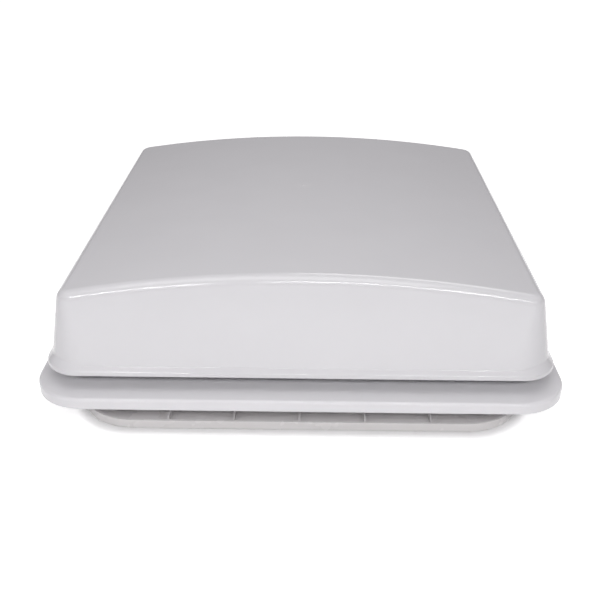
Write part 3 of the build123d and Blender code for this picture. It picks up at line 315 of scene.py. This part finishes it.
# Hinge pins and all screws. Mild steel, turned or cold headed and then bright zinc
# plated: a grey-blue metal with fine turning marks and slight dulling.
def worked_metal(name, light, dark, roughness, grain_mm, stretch):
    """A metal with fine marks that are drawn out along X by a factor."""
    material, tree = blank(name)
    place = add(tree, "ShaderNodeTexCoord").outputs["Object"]
    drawn = add(tree, "ShaderNodeMapping", {"Vector": place, "Scale": (1 / stretch, 1.0, 1.0)})
    marks = add(tree, "ShaderNodeTexNoise", {"Vector": drawn.outputs[0], "Scale": 1000 / grain_mm,
                                             "Detail": 4.0})
    colour = add(tree, "ShaderNodeMix", {"Factor": marks.outputs["Fac"], "A": srgb(dark), "B": srgb(light)},
                 data_type="RGBA")
    dulling = add(tree, "ShaderNodeMapRange", {"Value": marks.outputs["Fac"], "From Min": 0.3,
                                               "From Max": 0.7, "To Min": roughness * 0.8,
                                               "To Max": roughness * 1.25})
    bump = add(tree, "ShaderNodeBump", {"Height": marks.outputs["Fac"], "Strength": 0.25, "Distance": 0.0001})
    shader = add(tree, "ShaderNodeBsdfPrincipled", {"Base Color": colour.outputs["Result"], "Metallic": 1.0,
                                                    "Roughness": dulling.outputs["Result"],
                                                    "Normal": bump.outputs["Normal"]})
    add(tree, "ShaderNodeOutputMaterial", {"Surface": shader.outputs[0]})
    return material


turned_zinc = worked_metal("bright zinc on turned steel", "#c9cdd2", "#aab0b6", 0.28, 0.7, 0.25)
dress(turned_zinc, "hinge_pin_left", "hinge_pin_right", "bracket_screws", "leaf_screws", "track_screws",
      "bearing_screws", "housing_screws", "clamp_screws", "cover_screws", "crank_screw")


# Shaft bearings and lift rollers. Unfilled nylon, machined from cast bar and left its
# natural ivory, which looks slightly waxy.
cast_nylon = moulded("natural cast nylon", "#dcd6c4", "#cfc8b2", 0.42, 1.2, 0.2, 1.53, 10.0)
dress(cast_nylon, "shaft_bearing_left", "shaft_bearing_right", "lift_roller_left", "lift_roller_right")


# Cross shaft, lift arms and sector gear. Ground steel bar and stamped steel plate, bright
# zinc plated after forming, with marks that run along the shaft.
drawn_zinc = worked_metal("bright zinc on drawn steel", "#c4c9cf", "#a5abb2", 0.32, 1.5, 8.0)
dress(drawn_zinc, "cross_shaft", "shaft_pins", "lift_arm_left", "lift_arm_right", "roller_pin_left",
      "roller_pin_right", "sector_gear")


# Gear housing. The same black glass-filled nylon as the hinges, screwed to the rear wall,
# with sintered bronze bushes, brown-gold and slightly porous, where the worm runs.
dress(filled_nylon, "gear_housing")
dress(worked_metal("sintered bronze", "#b08850", "#8d6a3a", 0.38, 0.8, 1.0),
      "worm_bush_lower", "worm_bush_upper")


# Worm. Hobbed from free-cutting steel and left bright under a film of grease, so that it
# is a little darker and smoother than the plated parts.
dress(worked_metal("greased bright steel", "#b4b6b8", "#93969a", 0.22, 0.6, 1.0), "worm_shaft")


# Ceiling trim, operator cover and screw caps. The same ABS in a warmer white, satin from a
# spark-eroded mould, since people look at it from inside the caravan.
trim_abs = moulded("moulded satin ABS", "#eae8e8", "#e5e2e1", 0.26, 1.5, 0.12, 1.54)
dress(trim_abs, "ceiling_trim", "operator_cover", "screw_caps")


# Crank. A forked arm of satin ABS, with a fold-out knob of black nylon that turns on a
# natural nylon spindle. Both pivot on a plated steel pin.
dress(trim_abs, "crank_arm")
dress(filled_nylon, "crank_knob")
dress(cast_nylon, "knob_spindle")
dress(drawn_zinc, "knob_pin")


# Dome. One thin shell of gloss ABS. The mould's gate left a small disc on the crown with
# a slightly paler blush around it, where the first plastic met the mould.
gate = (0.0, 0.020, 0.1215)
blush_mm = 14.0
dome_clouding_mm = 60.0
dome_peel_mm = 3.0

dome_abs, tree = blank("polished gloss ABS")
place = add(tree, "ShaderNodeTexCoord").outputs["Object"]
cloud = add(tree, "ShaderNodeTexNoise", {"Vector": place, "Scale": 1000 / dome_clouding_mm, "Detail": 3.0,
                                         "Roughness": 0.5})
colour = add(tree, "ShaderNodeMix", {"Factor": cloud.outputs["Fac"], "A": srgb("#e0dfe2"),
                                     "B": srgb("#e4e3e6")}, data_type="RGBA")
reach = add(tree, "ShaderNodeVectorMath", {0: place, 1: gate}, operation="DISTANCE")
blush = add(tree, "ShaderNodeMapRange", {"Value": reach.outputs["Value"], "From Min": 0.0,
                                         "From Max": blush_mm / 1000, "To Min": 0.35, "To Max": 0.0},
            interpolation_type="SMOOTHSTEP")
colour = add(tree, "ShaderNodeMix", {"Factor": blush.outputs["Result"], "A": colour.outputs["Result"],
                                     "B": srgb("#eae9eb")}, data_type="RGBA")
sheen = add(tree, "ShaderNodeMapRange", {"Value": cloud.outputs["Fac"], "From Min": 0.3, "From Max": 0.7,
                                         "To Min": 0.05, "To Max": 0.075})
peel = add(tree, "ShaderNodeTexNoise", {"Vector": place, "Scale": 1000 / dome_peel_mm, "Detail": 1.0})
bump = add(tree, "ShaderNodeBump", {"Height": peel.outputs["Fac"], "Strength": 0.05, "Distance": 0.0002})
shader = add(tree, "ShaderNodeBsdfPrincipled", {"Base Color": colour.outputs["Result"], "IOR": 1.54,
                                                "Roughness": sheen.outputs["Result"],
                                                "Normal": bump.outputs["Normal"]})
add(tree, "ShaderNodeOutputMaterial", {"Surface": shader.outputs[0]})
dress(dome_abs, "dome")


# Lid ring. ABS as the dome, but from a plainer, duller mould and seen only with the lid up.
# It is bonded inside the dome and carries the hinge leaves and the lift tracks.
dress(moulded("moulded plain ABS", "#e4e3e6", "#dedde0", 0.34, 1.8, 0.15, 1.54), "lid_ring")


# Lift tracks. Extruded aluminium channels, mill finish, with die lines along the
# extrusion from front to back.
dress(worked_metal("mill-finish aluminium", "#d3d4d6", "#bfc1c4", 0.36, 1.0, 0.1),
      "lift_track_left", "lift_track_right")


# Fly screen frame. A satin ABS frame hinged on two plated pins, held shut by ferrite
# magnets in the trim that draw on thin plated keepers.
dress(trim_abs, "screen_frame")
dress(drawn_zinc, "screen_pins", "screen_keepers")
dress(moulded("pressed ferrite", "#39383a", "#2b2a2c", 0.65, 0.7, 0.5, 1.6, 5.0), "screen_magnets")


# Fly mesh. PVC-coated glass-fibre yarn woven with open square gaps. The yarn is drawn
# at twice its real spacing so that its weave still shows from arm's length.
yarn_pitch = 0.0032
yarn_thickness = 0.0004

mesh_low, mesh_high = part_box("fly_mesh")
mesh_size = mesh_high - mesh_low
mesh_mid = (mesh_low + mesh_high) / 2
net = bmesh.new()
bmesh.ops.create_grid(net, x_segments=round(mesh_size[0] / yarn_pitch),
                      y_segments=round(mesh_size[1] / yarn_pitch), size=0.5)
for knot in net.verts:
    knot.co = Vector((mesh_mid[0] + knot.co.x * mesh_size[0], mesh_mid[1] + knot.co.y * mesh_size[1],
                      mesh_mid[2]))
net_mesh = bpy.data.meshes.new("woven_fly_mesh")
net.to_mesh(net_mesh)
net.free()
woven = bpy.data.objects.new("woven_fly_mesh", net_mesh)
bpy.context.scene.collection.objects.link(woven)
strands = woven.modifiers.new("strands", "WIREFRAME")
strands.thickness = yarn_thickness
strands.use_even_offset = False
net_mesh.materials.append(moulded("PVC-coated glass yarn", "#4a4c4f", "#3a3c3f", 0.55, 0.8, 0.3, 1.5, 8.0))
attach(woven, "fly_screen")
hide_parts("fly_mesh")


# Mesh retainer. A pressed strip of grey vinyl that snaps into the frame's rebate and
# clamps the edge of the mesh all round.
dress(moulded("pressed grey vinyl", "#5b5c5e", "#4c4d4f", 0.6, 1.0, 0.3, 1.5, 15.0), "mesh_retainer")
